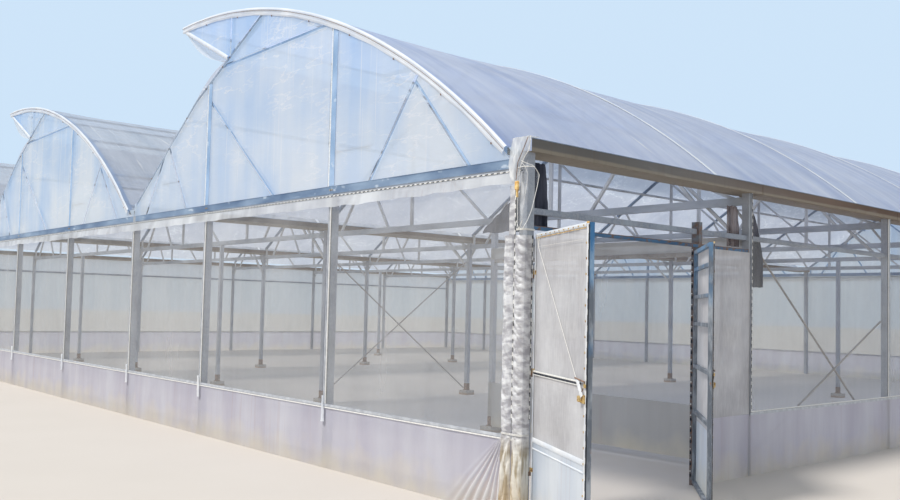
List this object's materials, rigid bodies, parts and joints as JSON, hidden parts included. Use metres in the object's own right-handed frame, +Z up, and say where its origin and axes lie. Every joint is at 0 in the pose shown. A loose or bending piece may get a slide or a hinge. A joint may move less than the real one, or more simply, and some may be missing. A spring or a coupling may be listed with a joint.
{
  "type": "multi-span saw-tooth film greenhouse",
  "caption": "Walk-in film greenhouse with arched saw-tooth roofs, insect-net walls, film skirts, box gutters and a double-leaf net door in the side wall.",
  "frame": {"origin": "foot of the near corner post, at ground level", "axes": "+Z up, -X along the front gable over the spans, +Y along the spans and the side wall with the door"},
  "size_m": [30.3551, 24.6567, 6.4782],
  "materials": {
    "galvanised_steel": "dull zinc, spangled, with dust and a little rust",
    "weathered_gutter": "galvanised sheet with brown dust and stains",
    "concrete": "rough cast concrete",
    "roof_film": "diffuse translucent polyethylene film",
    "insect_net": "fine white insect net",
    "skirt_film": "white polyethylene film, creased and dusty at the foot",
    "lock_strip": "aluminium lock profile with dark wire slots",
    "rusty_steel": "old blue paint over brown rust",
    "door_tube": "blue-grey paint, worn, with rust spots",
    "door_hardware": "zinc with yellow and brown rust",
    "wrap_film": "crinkled white film",
    "shade_cloth": "dark grey woven shade cloth"
  },
  "bodies": {
    "root": {"arches": "galvanised_steel", "back_gable_films": "roof_film", "back_skirt": "skirt_film", "back_wall_net": "insect_net", "bottom_chords": "galvanised_steel", "corner_wrap": "wrap_film", "door_frame": "rusty_steel", "door_side_net": "insect_net", "door_side_skirt": "skirt_film", "film_bundle": "wrap_film", "footings": "concrete", "front_gable_films": "roof_film", "front_skirt": "skirt_film", "front_wall_net": "insect_net", "gable_lock_strips": "lock_strip", "gable_posts": "galvanised_steel", "gutter_end_posts": "galvanised_steel", "gutters": "weathered_gutter", "hinge_pintles": "galvanised_steel", "knee_braces": "galvanised_steel", "mid_posts": "galvanised_steel", "nose_frames": "galvanised_steel", "partition_film": "skirt_film", "partition_net": "insect_net", "partition_rails": "galvanised_steel", "partition_skirt": "skirt_film", "purlins": "galvanised_steel", "rafters": "galvanised_steel", "shade_bundles": "shade_cloth", "side_girts": "galvanised_steel", "side_lock_strips": "lock_strip", "side_posts": "galvanised_steel", "side_skirts": "skirt_film", "side_upper_films": "roof_film", "side_wall_nets": "insect_net", "slope_films": "roof_film", "span_1_roof_film": "roof_film", "span_2_roof_film": "roof_film", "span_3_roof_film": "roof_film", "truss_braces": "galvanised_steel", "upright_struts": "galvanised_steel", "valances": "skirt_film", "valley_posts": "galvanised_steel", "vent_nets": "insect_net", "wind_braces": "galvanised_steel"},
    "left_leaf": {"left_leaf_film": "skirt_film", "left_leaf_frame": "door_tube", "left_leaf_hinges": "door_hardware", "left_leaf_latch": "door_hardware", "left_leaf_net": "insect_net"},
    "right_leaf": {"right_leaf_film": "skirt_film", "right_leaf_frame": "door_tube", "right_leaf_hinges": "door_hardware", "right_leaf_latch": "door_hardware", "right_leaf_net": "insect_net"}
  },
  "joints": [
    {"name": "left_leaf_hinge", "type": "hinge", "parent": "root", "child": "left_leaf", "pos_m": [0.058, 0.056, 0], "axis": [0, 0, 1], "range_deg": [-2, 118]},
    {"name": "right_leaf_hinge", "type": "hinge", "parent": "root", "child": "right_leaf", "pos_m": [0.058, 2.854, 0], "axis": [0, 0, 1], "range_deg": [-40, 80]}
  ]
}
